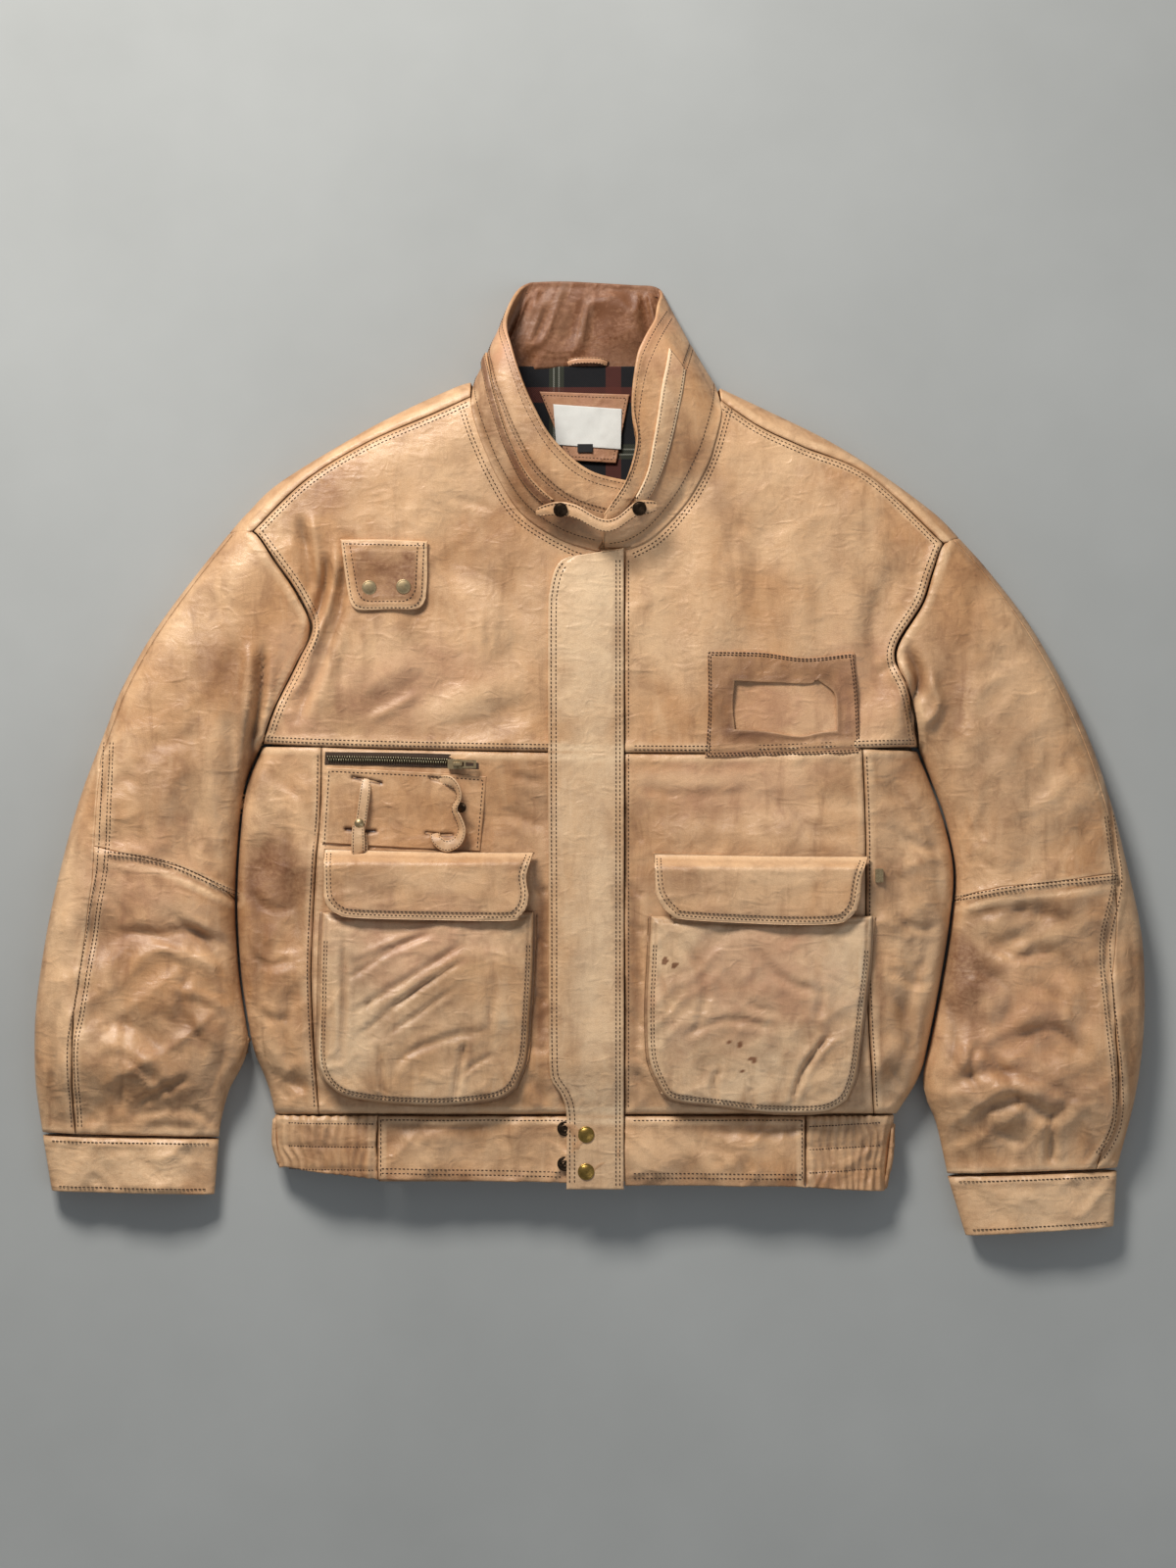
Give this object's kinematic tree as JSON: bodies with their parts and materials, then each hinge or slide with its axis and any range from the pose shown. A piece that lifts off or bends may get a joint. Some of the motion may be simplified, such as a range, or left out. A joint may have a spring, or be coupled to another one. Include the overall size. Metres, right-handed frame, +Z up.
{
  "type": "worn leather jacket",
  "caption": "Tan leather utility bomber jacket laid flat on its back, front up and closed, with bellows pockets, storm placket and stand collar.",
  "frame": {"origin": "middle of the bounding box, on the surface that the jacket lies on", "axes": "+X across the jacket towards the right sleeve as seen from above, +Y from hem to collar, +Z up from the surface"},
  "size_m": [0.969, 0.8274, 0.0744],
  "materials": {
    "leather": "worn, semi-matt, pebbled and creased",
    "leather_pale": "worn, semi-matt, paler from rubbing",
    "leather_dark": "darkened, matt",
    "plaid_lining": "twill plaid, matt",
    "label_cloth": "woven satin, blank",
    "zip_tape": "woven tape, matt",
    "brass": "bright, tarnished at the rim",
    "antique_brass": "antique, brushed",
    "dark_bronze": "blackened"
  },
  "bodies": {
    "jacket": {"back": "leather", "chest_flap": "leather", "chest_snap_left": "antique_brass", "chest_snap_right": "antique_brass", "chest_zip": "zip_tape", "collar": "leather", "collar_strap_left": "leather_dark", "collar_strap_right": "leather_dark", "cuff_left": "leather", "cuff_right": "leather", "flap_left": "leather", "flap_right": "leather", "front_left": "leather", "front_right": "leather", "hanger_loop": "leather", "hem_snap_lower": "brass", "hem_snap_upper": "brass", "label": "label_cloth", "label_patch": "leather", "lining_back": "plaid_lining", "loop_rivet": "antique_brass", "placket": "leather_pale", "pocket_gusset_left": "leather", "pocket_gusset_right": "leather", "pocket_left": "leather_pale", "pocket_right": "leather_pale", "side_left": "leather", "side_right": "leather", "side_zip_slider": "antique_brass", "size_tag": "label_cloth", "sleeve_lower_left": "leather", "sleeve_lower_right": "leather", "sleeve_under_left": "leather", "sleeve_under_right": "leather", "sleeve_upper_left": "leather", "sleeve_upper_right": "leather", "socket_snap_lower": "brass", "socket_snap_upper": "brass", "strap_loop_1": "leather_pale", "strap_loop_2": "leather_pale", "throat_snap_left": "dark_bronze", "throat_snap_right": "dark_bronze", "throat_tab": "leather", "utility_patch": "leather", "waistband_back": "leather", "waistband_left": "leather", "waistband_right": "leather", "waistband_side_left": "leather", "waistband_side_right": "leather", "window_patch": "leather_dark", "yoke_left": "leather", "yoke_right": "leather", "zip_slider": "antique_brass"},
    "pull_tab": {"zip_pull": "antique_brass"}
  },
  "joints": [
    {"name": "pull_tab_hinge", "type": "hinge", "parent": "jacket", "child": "pull_tab", "pos_m": [-0.1124, -0.0025, 0.0506], "axis": [0, -1, 0], "range_deg": [0, 120]}
  ]
}
